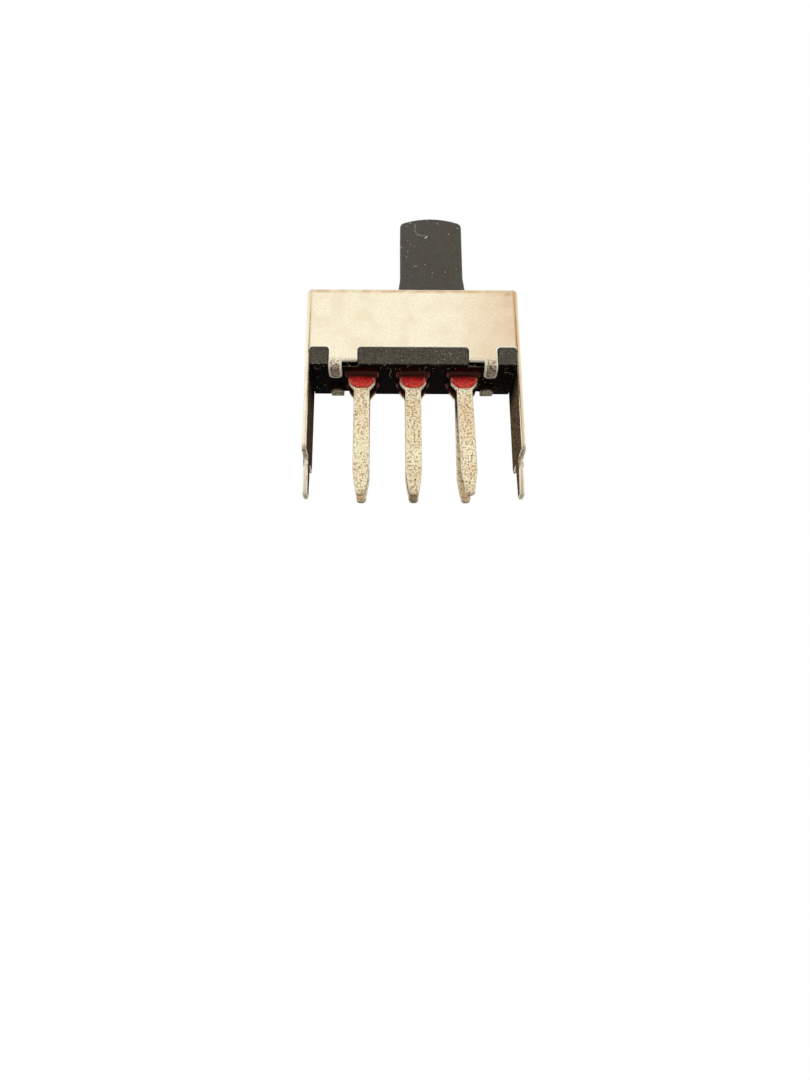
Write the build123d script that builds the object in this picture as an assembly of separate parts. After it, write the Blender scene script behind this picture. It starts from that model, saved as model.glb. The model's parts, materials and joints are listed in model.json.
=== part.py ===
from build123d import *
from math import sqrt
import os

# Miniature two-pole slide switch for a printed circuit board, in millimetres.
# X runs along the slide, Y from the front wall to the rear wall, Z up along the knob.
# The origin is the middle of the footprint, on the surface of the board.

# Terminals, blanked from strip, in two rows
pitch = 4.2
row_spacing = 1.7
strip_thickness = 0.4
blade_width = 2.2
blade_height = 2.2
blade_corner_length = 0.3
shoulder_height = 0.85
shoulder_taper_height = 0.6
shoulder_radius = 0.25
pin_width = 1.3
pin_length = 3.22
pin_taper_length = 2.0
pin_tip_width = 0.68
pin_tip_round_share = 0.42
coin_length = 0.7
coin_thickness = 0.2
slot_gap = 0.02
front_right_lean_distance = 0.25

# Can, folded from one sheet of steel
can_depth = 5.0
sheet_thickness = 0.4
wall_height = 5.7
bend_radius = 0.08
top_bend_share = 0.85
tab_gap = 0.5
tab_width = 1.08
tab_length = 1.6
tab_bend_radius = 0.2
tab_end_round_share = 0.38
lug_width = 2.38
lug_height = 1.2
end_notch_width = 1.52
notch_corner_radius = 0.25
leg_tip_length = 3.05
leg_tip_root_width = 1.75
leg_tip_end_width = 1.1
leg_shoulder_radius = 0.18

# Moulded base that closes the can from below
board_to_base_height = 7.5
ledge_height = 1.55
tongue_height = 0.45
fit_gap = 0.03
mould_mark_diameter = 0.5
mould_mark_depth = 0.1
mould_mark_inset_distance = 0.62

# Resin seals round the roots of the terminals
film_thickness = 0.07
film_edge_width = 0.1
bead_width = 0.3
bead_height = 0.2
bead_corner_length = 0.2

# Slider, knob and carrier in one moulding
travel_distance = 3.3
stop_gap = 0.1
carrier_side_gap = 0.1
carrier_top_gap = 0.1
carrier_floor_gap = 0.15
carrier_corner_length = 0.3
knob_width = 5.35
knob_depth = 2.8
knob_height = 8.0
knob_crown_height = 0.55
knob_corner_radius = 0.5
knob_edge_radius = 0.25
knob_foot_flare_width = 0.25
knob_foot_height = 1.9
knob_slot_gap = 0.15
knob_slot_radius = 0.3
blade_side_gap = 0.15
blade_top_gap = 0.3

# Sprung contact clips in the carrier
clip_thickness = 0.15
clip_tail_length = 0.65
clip_ramp_length = 0.9
clip_web_share = 0.85
clip_contact_gap = 0.03
clip_bow_depth = 0.13
clip_lead_depth = 0.1
clip_crest_radius = 0.2
clip_pocket_gap = 0.04
clip_foot_gap = 0.3
clip_crown_gap = 0.1

# Detent: two balls and a coil spring in a cross bore
ball_diameter = 1.2
ball_bore_gap = 0.03
ball_wall_gap = 0.03
dimple_depth = 0.15
dimple_mouth_diameter = 0.9
dimple_floor_diameter = 0.44
bore_roof_thickness = 0.3
spring_wire_diameter = 0.18
spring_diameter = 0.94
spring_turns = 2.5
spring_wire_sides = 4
spring_end_gap = 0.02

# One overrun serves all cuts
overrun = 1.0

# Places along the can, worked outwards from the terminals
lug_outer = pitch + blade_width / 2 + tab_gap + tab_width
lug_inner = lug_outer - lug_width
inner_length = 2 * (lug_outer + end_notch_width)
can_length = inner_length + 2 * sheet_thickness
inner_depth = can_depth - 2 * sheet_thickness
corner_radius = bend_radius + sheet_thickness

# Levels above the board
root_level = board_to_base_height - shoulder_height
pin_level = root_level - shoulder_taper_height
notch_level = board_to_base_height + ledge_height
lug_level = notch_level - lug_height
base_top = notch_level + tongue_height
blade_top = base_top + blade_height
can_top = notch_level + wall_height
ceiling = can_top - sheet_thickness
carrier_bottom = base_top + carrier_floor_gap
carrier_top = ceiling - carrier_top_gap
knob_top = can_top + knob_height

# Pieces that fit into each other
carrier_length = inner_length - travel_distance - 2 * stop_gap
carrier_depth = inner_depth - 2 * carrier_side_gap
knob_foot_width = knob_width + 2 * knob_foot_flare_width
clip_length = pitch + 2 * clip_tail_length
clip_flat_length = pitch - 2 * clip_ramp_length
clip_contact_offset = strip_thickness / 2 + clip_contact_gap + clip_thickness / 2
clip_flat_offset = clip_contact_offset + clip_bow_depth
clip_half_depth = clip_flat_offset + clip_thickness / 2
clip_bottom = base_top + clip_foot_gap
clip_top = blade_top + clip_crown_gap + clip_thickness
slot_top = blade_top + blade_top_gap
pocket_top = max(clip_top + clip_pocket_gap, slot_top)
bore_radius = ball_diameter / 2 + ball_bore_gap
detent_level = carrier_top - bore_roof_thickness - bore_radius
ball_centre = inner_depth / 2 - ball_wall_gap - ball_diameter / 2
slider_rest = travel_distance / 2

sides = {"left": -1, "centre": 0, "right": 1}
rows = {"front": -1, "rear": 1}


def upright(sketch, depth):
    """Stand a sketch up in the XZ plane and thicken it to a depth centred on Y = 0."""
    return extrude(Plane.XZ * sketch, amount=depth / 2, both=True)


def crosswise(sketch, length):
    """Stand a sketch up in the YZ plane and thicken it to a length centred on X = 0."""
    return extrude(Plane.YZ * sketch, amount=length / 2, both=True)


def prism(length, depth, radius, bottom, top):
    """Upright block with rounded corners between two levels."""
    return Pos(0, 0, bottom) * extrude(RectangleRounded(length, depth, radius), amount=top - bottom)


def mirrored(half):
    """A half outline and its mirror image, joined at the upright axis."""
    return half + mirror(half, about=Plane.YZ)


def four_ways(piece):
    """A piece at one corner of the can, repeated at all four corners."""
    pair = piece + mirror(piece, about=Plane.YZ)
    return pair + mirror(pair, about=Plane.XZ)


def wall_window():
    """What is blanked out below the front and rear walls: it leaves the notches and the lugs."""
    below = -leg_tip_length - overrun
    points = [
        (0, below),
        (inner_length / 2, below),
        (inner_length / 2, notch_level),
        (lug_outer, notch_level),
        (lug_outer, lug_level),
        (lug_inner, lug_level),
        (lug_inner, notch_level),
        (0, notch_level),
    ]
    window = mirrored(make_face(Polyline(points, close=True)))
    roof = window.vertices().group_by(Axis.Y)[-1]
    return fillet([v for v in roof if abs(v.X) > lug_inner / 2], notch_corner_radius)


def leg_waste():
    """What is blanked off one side of a leg below its shoulder, which sits on the board."""
    points = [
        (leg_tip_root_width / 2, 0),
        (leg_tip_end_width / 2, -leg_tip_length),
        (leg_tip_end_width / 2, -leg_tip_length - overrun),
        (can_depth, -leg_tip_length - overrun),
        (can_depth, 0),
    ]
    waste = make_face(Polyline(points, close=True))
    root = waste.vertices().group_by(Axis.Y)[-1].sort_by(Axis.X)[0]
    return fillet(root, leg_shoulder_radius)


def crimp_tab():
    """Front right tab: down from the lug, round the edge of the base and in under it."""
    front = -can_depth / 2
    under = board_to_base_height - fit_gap
    points = [
        (front, lug_level),
        (front, under - sheet_thickness),
        (front + tab_length, under - sheet_thickness),
        (front + tab_length, under),
        (front + sheet_thickness, under),
        (front + sheet_thickness, lug_level),
    ]
    section = make_face(Polyline(points, close=True))
    outer_corner = section.vertices().group_by(Axis.X)[0].sort_by(Axis.Y)[0]
    section = fillet(outer_corner, tab_bend_radius + sheet_thickness)
    inner_corner = section.vertices().sort_by_distance((front + sheet_thickness, under))[0]
    section = fillet(inner_corner, tab_bend_radius)
    tab = Pos(lug_outer - tab_width / 2, 0, 0) * crosswise(section, tab_width)
    end_edges = tab.edges().filter_by(Axis.Z).group_by(Axis.Y)[-1]
    return fillet(end_edges, tab_width * tab_end_round_share)


def shell():
    """Open-bottomed can with a knob slot, notched walls, crimp tabs, detent dimples and two legs."""
    blank = prism(can_length, can_depth, corner_radius, -leg_tip_length, can_top)
    blank = fillet(blank.faces().sort_by(Axis.Z)[-1].edges(), corner_radius * top_bend_share)
    can = blank - prism(inner_length, inner_depth, bend_radius, -leg_tip_length - overrun, ceiling)
    can -= upright(wall_window(), can_depth + overrun)
    waste = crosswise(leg_waste(), can_length + overrun)
    can -= waste + mirror(waste, about=Plane.XZ)
    slot_length = knob_foot_width + travel_distance + 2 * knob_slot_gap
    slot_depth = knob_depth + 2 * knob_slot_gap
    can -= prism(slot_length, slot_depth, knob_slot_radius, ceiling - overrun, can_top + overrun)
    dimple = Cone(dimple_mouth_diameter / 2, dimple_floor_diameter / 2, dimple_depth)
    dimple_centre = inner_depth / 2 + dimple_depth / 2
    can -= four_ways(Pos(slider_rest, dimple_centre, detent_level) * Rot(-90, 0, 0) * dimple)
    return can + four_ways(crimp_tab())


def ledge(width, centre):
    """Bar of the base that fills a notch flush with the wall, with the notch's rounded corners."""
    height = ledge_height - fit_gap
    bar = Pos(centre, board_to_base_height + height / 2) * Rectangle(width, height)
    bar = fillet(bar.vertices().group_by(Axis.Y)[-1], notch_corner_radius)
    return upright(bar, can_depth)


def terminal_base():
    """Base plate with flush ledges in the notches, relieved under the lugs and slotted for the blades."""
    plate_length = inner_length - 2 * fit_gap
    plate_depth = inner_depth - 2 * fit_gap
    plate = prism(plate_length, plate_depth, bend_radius, board_to_base_height, base_top)
    end_centre = lug_outer + end_notch_width / 2
    end_width = end_notch_width - 2 * fit_gap
    plate += ledge(2 * (lug_inner - fit_gap), 0)
    plate += ledge(end_width, end_centre) + ledge(end_width, -end_centre)
    relief = tab_bend_radius + fit_gap
    edge = plate_depth / 2
    bevel = make_face(Polyline(
        (edge - relief, board_to_base_height),
        (edge, board_to_base_height + relief),
        (edge, board_to_base_height),
        close=True,
    ))
    plate -= four_ways(Pos(lug_outer - lug_width / 2, 0, 0) * crosswise(bevel, lug_width))
    slot_height = base_top - board_to_base_height + overrun
    slot = Box(blade_width + 2 * slot_gap, strip_thickness + 2 * slot_gap, slot_height)
    slot_level = (base_top + board_to_base_height) / 2
    for side in sides.values():
        for row in rows.values():
            plate -= Pos(side * pitch, row * row_spacing / 2, slot_level) * slot
    mark = Cylinder(mould_mark_diameter / 2, 2 * mould_mark_depth)
    mark_x = mould_mark_inset_distance - inner_length / 2
    mark_y = mould_mark_inset_distance - can_depth / 2
    return plate - Pos(mark_x, mark_y, board_to_base_height) * mark


def terminal(lean):
    """Contact blade, shoulder and tapered pin in one blank, the pin bent sideways by its lean."""

    def pin_point(half_width, level):
        swing_share = (root_level - level) / (root_level + pin_length)
        return (half_width + lean * swing_share, level)

    taper_level = pin_taper_length - pin_length
    blank = make_face(Polyline(
        (blade_width / 2, blade_top),
        (blade_width / 2, root_level),
        pin_point(pin_width / 2, pin_level),
        pin_point(pin_width / 2, taper_level),
        pin_point(pin_tip_width / 2, -pin_length),
        pin_point(-pin_tip_width / 2, -pin_length),
        pin_point(-pin_width / 2, taper_level),
        pin_point(-pin_width / 2, pin_level),
        (-blade_width / 2, root_level),
        (-blade_width / 2, blade_top),
        close=True,
    ))
    shoulders = [v for v in blank.vertices() if 0 < v.Y < board_to_base_height]
    blank = fillet(shoulders, shoulder_radius)
    blank = chamfer(blank.vertices().group_by(Axis.Y)[-1], blade_corner_length)
    blank = fillet(blank.vertices().group_by(Axis.Y)[0], pin_tip_width * pin_tip_round_share)
    coin_level = coin_length - pin_length
    section = make_face(Polyline(
        (-strip_thickness / 2, blade_top),
        (strip_thickness / 2, blade_top),
        (strip_thickness / 2, coin_level),
        (coin_thickness / 2, -pin_length),
        (-coin_thickness / 2, -pin_length),
        (-strip_thickness / 2, coin_level),
        close=True,
    ))
    return upright(blank, strip_thickness) & crosswise(section, can_length)


def seal(blade):
    """Resin film on both faces of a shoulder, with a bead of resin where the blade leaves the base."""
    film_level = pin_level + film_edge_width
    film_half_width = blade_width / 2 - film_edge_width
    half = make_face(Polyline(
        (0, board_to_base_height),
        (film_half_width, board_to_base_height),
        (film_half_width, root_level),
        (pin_width / 2 - film_edge_width, film_level),
        (0, film_level),
        close=True,
    ))
    film = upright(mirrored(half), strip_thickness + 2 * film_thickness)
    wide = Rectangle(blade_width + 2 * bead_width, strip_thickness + 2 * bead_width)
    narrow = Rectangle(blade_width + 2 * film_thickness, strip_thickness + 2 * film_thickness)
    bead = loft([
        Pos(0, 0, board_to_base_height) * chamfer(wide.vertices(), bead_corner_length),
        Pos(0, 0, board_to_base_height - bead_height) * chamfer(narrow.vertices(), film_thickness),
    ])
    return film + bead - blade


def knob():
    """Finger knob with a crowned top, drafted out to its foot where it enters the can."""
    half = knob_width / 2
    foot_half = knob_foot_width / 2
    neck = can_top + knob_foot_height
    shoulder = knob_top - knob_crown_height
    face = make_face([
        Line((-foot_half, carrier_top), (foot_half, carrier_top)),
        Line((foot_half, carrier_top), (foot_half, can_top)),
        Line((foot_half, can_top), (half, neck)),
        Line((half, neck), (half, shoulder)),
        ThreePointArc((half, shoulder), (0, knob_top), (-half, shoulder)),
        Line((-half, shoulder), (-half, neck)),
        Line((-half, neck), (-foot_half, can_top)),
        Line((-foot_half, can_top), (-foot_half, carrier_top)),
    ])
    top_corners = face.vertices().group_by(Axis.Y)[-1]
    block = upright(fillet(top_corners, knob_corner_radius), knob_depth)
    rims = block.faces().filter_by(Axis.Y).edges()
    return fillet([e for e in rims if e.center().Z > can_top], knob_edge_radius)


def slider():
    """Knob on a carrier that is slotted for the two rows of blades and bored across for the detent."""
    plan = Rectangle(carrier_length, carrier_depth)
    plan = chamfer(plan.vertices(), carrier_corner_length)
    carrier = Pos(0, 0, carrier_bottom) * extrude(plan, amount=carrier_top - carrier_bottom)
    cut_bottom = carrier_bottom - overrun
    slot = Box(carrier_length + overrun, strip_thickness + 2 * blade_side_gap, slot_top - cut_bottom)
    pocket_length = clip_length + 2 * clip_pocket_gap
    pocket_width = 2 * (clip_half_depth + clip_pocket_gap)
    pocket = Box(pocket_length, pocket_width, pocket_top - cut_bottom)
    for row in rows.values():
        row_place = row * row_spacing / 2
        carrier -= Pos(0, row_place, (slot_top + cut_bottom) / 2) * slot
        carrier -= Pos(0, row_place, (pocket_top + cut_bottom) / 2) * pocket
    bore = Pos(0, 0, detent_level) * Rot(90, 0, 0) * Cylinder(bore_radius, can_depth)
    return carrier + knob() - bore


def contact_clip():
    """Two bowed leaves, sheared off square, that grip neighbouring blades, joined above them by a web."""
    end = clip_length / 2
    crest = pitch / 2
    flat = clip_flat_length / 2
    lead = clip_contact_offset + clip_lead_depth
    route = [
        (-end, lead),
        (-crest, clip_contact_offset),
        (-flat, clip_flat_offset),
        (flat, clip_flat_offset),
        (crest, clip_contact_offset),
        (end, lead),
    ]
    leaf = trace(FilletPolyline(route, radius=clip_crest_radius), line_width=clip_thickness)
    leaf = Pos(0, 0, clip_bottom) * extrude(leaf, amount=clip_top - clip_bottom)
    leaf &= Box(clip_length, can_depth, 2 * can_top)
    web = Box(clip_flat_length * clip_web_share, 2 * clip_half_depth, clip_thickness)
    return leaf + mirror(leaf, about=Plane.XZ) + Pos(0, 0, clip_top - clip_thickness / 2) * web


def detent_spring():
    """Coil spring between the two balls, wound along Y."""
    coil_radius = (spring_diameter - spring_wire_diameter) / 2
    wire_radius = spring_wire_diameter / 2
    seat = sqrt((ball_diameter / 2 + wire_radius) ** 2 - coil_radius ** 2)
    reach = ball_centre - seat - spring_end_gap
    path = Helix(pitch=2 * reach / spring_turns, height=2 * reach, radius=coil_radius)
    section = Plane(path @ 0, z_dir=path % 0) * RegularPolygon(wire_radius, spring_wire_sides)
    return Rot(-90, 0, 0) * Pos(0, 0, -reach) * sweep(section, path=path, is_frenet=True)


nodes = {
    "shell": shell(),
    "terminal_base": terminal_base(),
    "slider": Pos(slider_rest, 0, 0) * slider(),
    "detent_spring": Pos(slider_rest, 0, detent_level) * detent_spring(),
}
for row_name, row in rows.items():
    row_place = row * row_spacing / 2
    for side_name, side in sides.items():
        is_bent = (row_name, side_name) == ("front", "right")
        blade = terminal(front_right_lean_distance if is_bent else 0)
        place = Pos(side * pitch, row_place, 0)
        nodes[f"terminal_{row_name}_{side_name}"] = place * blade
        nodes[f"seal_{row_name}_{side_name}"] = place * seal(blade)
    nodes[f"contact_clip_{row_name}"] = Pos(slider_rest, row_place, 0) * contact_clip()
    ball = Pos(slider_rest, row * ball_centre, detent_level) * Sphere(ball_diameter / 2)
    nodes[f"detent_ball_{row_name}"] = ball

os.makedirs("parts", exist_ok=True)
for name, shape in nodes.items():
    export_step(shape, f"parts/{name}.step")
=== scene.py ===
import bmesh
import bpy
import json
from math import radians
from mathutils import Matrix, Vector

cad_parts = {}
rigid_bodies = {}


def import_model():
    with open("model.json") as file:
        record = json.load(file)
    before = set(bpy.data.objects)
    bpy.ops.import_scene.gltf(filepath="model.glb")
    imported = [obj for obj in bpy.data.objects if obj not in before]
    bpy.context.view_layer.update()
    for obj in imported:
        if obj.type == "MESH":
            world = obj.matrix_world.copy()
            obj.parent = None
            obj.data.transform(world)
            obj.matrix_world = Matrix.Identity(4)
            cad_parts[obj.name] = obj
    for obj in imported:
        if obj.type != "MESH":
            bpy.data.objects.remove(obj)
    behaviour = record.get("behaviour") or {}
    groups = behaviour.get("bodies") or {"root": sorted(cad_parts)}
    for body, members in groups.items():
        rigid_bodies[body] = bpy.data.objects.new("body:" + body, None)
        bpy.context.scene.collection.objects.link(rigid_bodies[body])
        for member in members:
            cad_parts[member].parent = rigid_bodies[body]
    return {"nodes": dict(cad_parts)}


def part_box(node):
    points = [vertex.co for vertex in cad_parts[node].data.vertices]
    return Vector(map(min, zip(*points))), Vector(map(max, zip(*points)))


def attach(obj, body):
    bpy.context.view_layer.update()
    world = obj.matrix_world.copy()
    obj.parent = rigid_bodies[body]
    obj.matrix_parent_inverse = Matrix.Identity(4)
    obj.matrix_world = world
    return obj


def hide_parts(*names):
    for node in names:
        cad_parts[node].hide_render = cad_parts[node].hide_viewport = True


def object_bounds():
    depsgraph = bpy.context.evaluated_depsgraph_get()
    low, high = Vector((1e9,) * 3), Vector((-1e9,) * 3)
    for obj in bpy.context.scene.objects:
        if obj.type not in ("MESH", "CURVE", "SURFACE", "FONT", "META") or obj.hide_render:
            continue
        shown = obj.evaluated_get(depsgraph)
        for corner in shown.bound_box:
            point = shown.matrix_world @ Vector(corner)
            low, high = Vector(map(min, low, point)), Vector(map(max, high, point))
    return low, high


for leftover in list(bpy.data.objects):
    bpy.data.objects.remove(leftover)
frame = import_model()
cad_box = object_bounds()

# Terminal base
# Black plate that closes the can from below and holds the terminals in line.
# Injection moulded in filled plastic, so it is matt and a little grainy; the can's tabs hold it in.
millimetre = 0.001
base_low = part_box("terminal_base")[0]
base_edge_size = 0.05 * millimetre
terminal_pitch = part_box("terminal_front_centre")[0].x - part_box("terminal_front_left")[0].x
# Painted reflection: the red seals mirrored in the glossy bottom face, as a dark red tint round each
# terminal over this reach.
seal_reflection_near = 0.5 * millimetre
seal_reflection_far = 1.5 * millimetre
seal_reflection_row = 1.3 * millimetre
seal_reflection_half_depth = 1.1 * millimetre
seal_reflection_half_length = terminal_pitch * 1.4
merge_distance = 0.0001 * millimetre
flat_angle = radians(0.5)
sharp_angle = radians(60)
edge_segments = 3
edge_finish_slot = 1
level_face_weight = 100
base_black = (0.080, 0.071, 0.054, 1)
base_grey = (0.142, 0.126, 0.096, 1)
base_dust = (0.26, 0.24, 0.19, 1)
# Dust and painted light: a paler grey for the shaded bevel under the lugs.
ridge_dust_and_painted_light = (0.30, 0.27, 0.21, 1)
# Painted shade: the near black given to the faces of the base that look down.
underside_painted_shade = (0.006, 0.0035, 0.002, 1)
# Painted reflection: the dark red of the seals as seen in the bottom face.
painted_seal_reflection = (0.045, 0.003, 0.002, 1)
base_edge_black = (0.050, 0.045, 0.036, 1)
base_edge_grey = (0.105, 0.094, 0.076, 1)
base_edge_dust = (0.34, 0.31, 0.26, 1)


def link_object(name, data):
    """A new object in the scene."""
    made = bpy.data.objects.new(name, data)
    bpy.context.scene.collection.objects.link(made)
    return made


def plain_mesh(worked):
    """The finished mesh of an object with modifiers, which is then removed."""
    shape = worked.evaluated_get(bpy.context.evaluated_depsgraph_get())
    mesh = bpy.data.meshes.new_from_object(shape)
    bpy.data.objects.remove(worked)
    return mesh


def fresh_copy(node, finishes):
    """A copy of a solid's mesh in new finishes, and its loose triangles merged into whole faces."""
    mesh = frame["nodes"][node].data.copy()
    mesh.materials.clear()
    for finish in finishes:
        mesh.materials.append(finish)
    shape = bmesh.new()
    shape.from_mesh(mesh)
    bmesh.ops.remove_doubles(shape, verts=shape.verts, dist=merge_distance)
    bmesh.ops.dissolve_limit(shape, angle_limit=flat_angle, verts=shape.verts, edges=shape.edges)
    return mesh, shape


def eased_copy(node, body, edge_size, face_finish, edge_finish):
    """A solid's copy with its sharp edges rounded over; the rounding has a finish of its own."""
    mesh, shape = fresh_copy(node, [face_finish, edge_finish])
    shape.to_mesh(mesh)
    shape.free()
    mesh.shade_smooth()
    worked = link_object(node + "_worked", mesh)
    bevel = worked.modifiers.new("rounded edges", "BEVEL")
    bevel.width = edge_size
    bevel.segments = edge_segments
    bevel.limit_method = "ANGLE"
    bevel.angle_limit = sharp_angle
    bevel.use_clamp_overlap = False
    bevel.material = edge_finish_slot
    weighted = worked.modifiers.new("level faces", "WEIGHTED_NORMAL")
    weighted.weight = level_face_weight
    piece = link_object(node + "_eased", plain_mesh(worked))
    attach(piece, body)
    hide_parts(node)


def add_node(tree, kind, inputs=None, **settings):
    """A node with its settings and inputs; an input that is another node's output is linked."""
    node = tree.nodes.new(kind)
    for setting, value in settings.items():
        setattr(node, setting, value)
    for socket, value in (inputs or {}).items():
        if isinstance(value, bpy.types.NodeSocket):
            tree.links.new(value, node.inputs[socket])
        else:
            node.inputs[socket].default_value = value
    return node


def reckon(tree, operation, first, second=0.0):
    """The result of one sum on values that change over a surface."""
    return add_node(tree, "ShaderNodeMath", {0: first, 1: second}, operation=operation).outputs[0]


def times(tree, first, second):
    """Where two masks meet, or a mask made weaker by a share."""
    return reckon(tree, "MULTIPLY", first, second)


def either(tree, first, second):
    """The stronger of two masks."""
    return reckon(tree, "MAXIMUM", first, second)


def others(tree, mask):
    """All that a mask leaves out."""
    return reckon(tree, "SUBTRACT", 1.0, mask)


def unsigned(tree, value):
    """A value without its sign, so that both sides of the middle are alike."""
    return reckon(tree, "ABSOLUTE", value)


def below(tree, value, limit):
    """A mask with a hard edge: 1 where a value is under its limit."""
    return reckon(tree, "LESS_THAN", value, limit)


def rise(tree, value, zero_at, one_at):
    """A mask that rises smoothly from 0 at one value to 1 at another, in either direction."""
    node = add_node(tree, "ShaderNodeMapRange", {
        "Value": value,
        "From Min": zero_at,
        "From Max": one_at,
    }, interpolation_type="SMOOTHSTEP")
    return node.outputs["Result"]


def between(tree, mask, at_zero, at_one):
    """A value that goes from one number to another with a mask."""
    node = add_node(tree, "ShaderNodeMapRange", {"Value": mask, "To Min": at_zero, "To Max": at_one})
    return node.outputs["Result"]


def axes(tree, output):
    """The X, Y and Z of the place on a piece, or of the way its surface faces."""
    vector = add_node(tree, "ShaderNodeTexCoord").outputs[output]
    return add_node(tree, "ShaderNodeSeparateXYZ", {"Vector": vector}).outputs


def new_group(name, inputs, outputs):
    """An empty group of shader nodes with number sockets, and its inputs and outputs."""
    group = bpy.data.node_groups.new(name, "ShaderNodeTree")
    for socket in inputs:
        group.interface.new_socket(socket, in_out="INPUT", socket_type="NodeSocketFloat")
    for socket in outputs:
        group.interface.new_socket(socket, in_out="OUTPUT", socket_type="NodeSocketFloat")
    return group, group.nodes.new("NodeGroupInput").outputs, group.nodes.new("NodeGroupOutput").inputs


def mottle_group():
    """Uneven cloudy patches of one size over a surface: 0 in the dark of the noise, 1 in the pale."""
    group, given, made = new_group("mottle", ["Patch Size", "Dark Below", "Pale Above"], ["Mask"])
    place = add_node(group, "ShaderNodeTexCoord").outputs["Object"]
    scale = reckon(group, "DIVIDE", 1.0, given["Patch Size"])
    noise = add_node(group, "ShaderNodeTexNoise", {"Vector": place, "Scale": scale, "Detail": 3.0})
    mask = rise(group, noise.outputs["Fac"], zero_at=given["Dark Below"], one_at=given["Pale Above"])
    group.links.new(mask, made["Mask"])
    return group


def speck_group():
    """Small round specks, one at most in each cell of a surface: 1 on a speck, 0 beside it."""
    group, given, made = new_group("specks", ["Cell Size", "Radius Share", "Kept Share"], ["Mask"])
    place = add_node(group, "ShaderNodeTexCoord").outputs["Object"]
    scale = reckon(group, "DIVIDE", 1.0, given["Cell Size"])
    cells = add_node(group, "ShaderNodeTexVoronoi", {"Vector": place, "Scale": scale}).outputs
    near = rise(group, cells["Distance"], zero_at=given["Radius Share"], one_at=0.0)
    lot = add_node(group, "ShaderNodeSeparateColor", {"Color": cells["Color"]}).outputs["Red"]
    kept = below(group, lot, given["Kept Share"])
    group.links.new(times(group, near, kept), made["Mask"])
    return group


def band_group():
    """A soft stripe across a piece: 1 at its level along one axis, 0 beyond its half width."""
    group, given, made = new_group("band", ["Along", "Level", "Half Width"], ["Mask"])
    away = unsigned(group, reckon(group, "SUBTRACT", given["Along"], given["Level"]))
    group.links.new(rise(group, away, zero_at=given["Half Width"], one_at=0.0), made["Mask"])
    return group


mottle = mottle_group()
specks = speck_group()
band = band_group()


def mottled(tree, patch_size, dark_below=0.3, pale_above=0.7):
    """The mask of cloudy patches, placed in a material."""
    sockets = {"Patch Size": patch_size, "Dark Below": dark_below, "Pale Above": pale_above}
    return add_node(tree, "ShaderNodeGroup", sockets, node_tree=mottle).outputs["Mask"]


def speckled(tree, cell_size, radius_share, kept_share):
    """The mask of small specks, placed in a material."""
    sockets = {"Cell Size": cell_size, "Radius Share": radius_share, "Kept Share": kept_share}
    return add_node(tree, "ShaderNodeGroup", sockets, node_tree=specks).outputs["Mask"]


def banded(tree, along, level, half_width):
    """The mask of a soft stripe, placed in a material."""
    sockets = {"Along": along, "Level": level, "Half Width": half_width}
    return add_node(tree, "ShaderNodeGroup", sockets, node_tree=band).outputs["Mask"]


def mixed(tree, mask, at_zero, at_one):
    """One colour where the mask is 0 and the other where it is 1."""
    return add_node(tree, "ShaderNodeMix", {0: mask, 6: at_zero, 7: at_one}, data_type="RGBA").outputs[2]


def new_material(name, constants):
    """A material, its nodes and its shader's inputs; what is the same all over is set on the shader."""
    material = bpy.data.materials.new(name)
    material.use_nodes = True
    into = material.node_tree.nodes["Principled BSDF"].inputs
    for socket, value in constants.items():
        into[socket].default_value = value
    return material, material.node_tree, into


def bumped(tree, into, height, depth):
    """Raises a surface by a depth where a mask is 1."""
    bump = add_node(tree, "ShaderNodeBump", {"Height": height, "Distance": depth})
    tree.links.new(bump.outputs["Normal"], into["Normal"])


def moulded_grey(tree, dark, pale, dust):
    """Colour of moulded plastic: a fine grain in two greys, with pale dust caught in it."""
    grain = mottled(tree, patch_size=0.16 * millimetre, dark_below=0.34, pale_above=0.66)
    caught = speckled(tree, cell_size=0.30 * millimetre, radius_share=0.20, kept_share=0.06)
    return mixed(tree, caught, mixed(tree, grain, dark, pale), dust)


def base_plastic():
    """Grainy black plastic with painted shade on the faces that look down, a painted reflection of the
    red seals there round each terminal, and dust with painted light on the bevel under the lugs.
    """
    material, tree, into = new_material("base_plastic", {"Specular IOR Level": 0.02})
    facing = axes(tree, "Normal")
    place = axes(tree, "Object")
    forwards = rise(tree, facing["Y"], zero_at=-0.4, one_at=-0.6)
    downwards = rise(tree, facing["Z"], zero_at=-0.4, one_at=-0.6)
    grey = moulded_grey(tree, base_black, base_grey, base_dust)
    # Dust and painted light: the bevel under the lugs, which looks down and forward into shade, is
    # painted a paler dusty grey.
    ridge_lit_and_dusty = mixed(tree, times(tree, forwards, downwards), grey, ridge_dust_and_painted_light)
    # Painted reflection of the red seals: a patchy dark red tint on the bottom face round each terminal.
    beside = reckon(tree, "PINGPONG", place["X"], terminal_pitch / 2)
    reflection_across = rise(tree, beside, zero_at=seal_reflection_far, one_at=seal_reflection_near)
    reflection_depth = banded(tree, unsigned(tree, place["Y"]), level=seal_reflection_row, half_width=seal_reflection_half_depth)
    in_reach = below(tree, unsigned(tree, place["X"]), seal_reflection_half_length)
    patches = mottled(tree, patch_size=0.5 * millimetre, dark_below=0.25, pale_above=0.6)
    seal_reflection = times(tree, times(tree, reflection_across, reflection_depth), times(tree, in_reach, patches))
    # Painted shade: faces that look down are painted near black.
    downward_painted_shade = rise(tree, facing["Z"], zero_at=-0.75, one_at=-0.95)
    shade = mixed(tree, seal_reflection, underside_painted_shade, painted_seal_reflection)
    tree.links.new(mixed(tree, downward_painted_shade, ridge_lit_and_dusty, shade), into["Base Color"])
    grain = mottled(tree, patch_size=0.09 * millimetre)
    tree.links.new(between(tree, grain, at_zero=0.72, at_one=0.58), into["Roughness"])
    bumped(tree, into, grain, depth=0.012 * millimetre)
    return material


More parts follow.
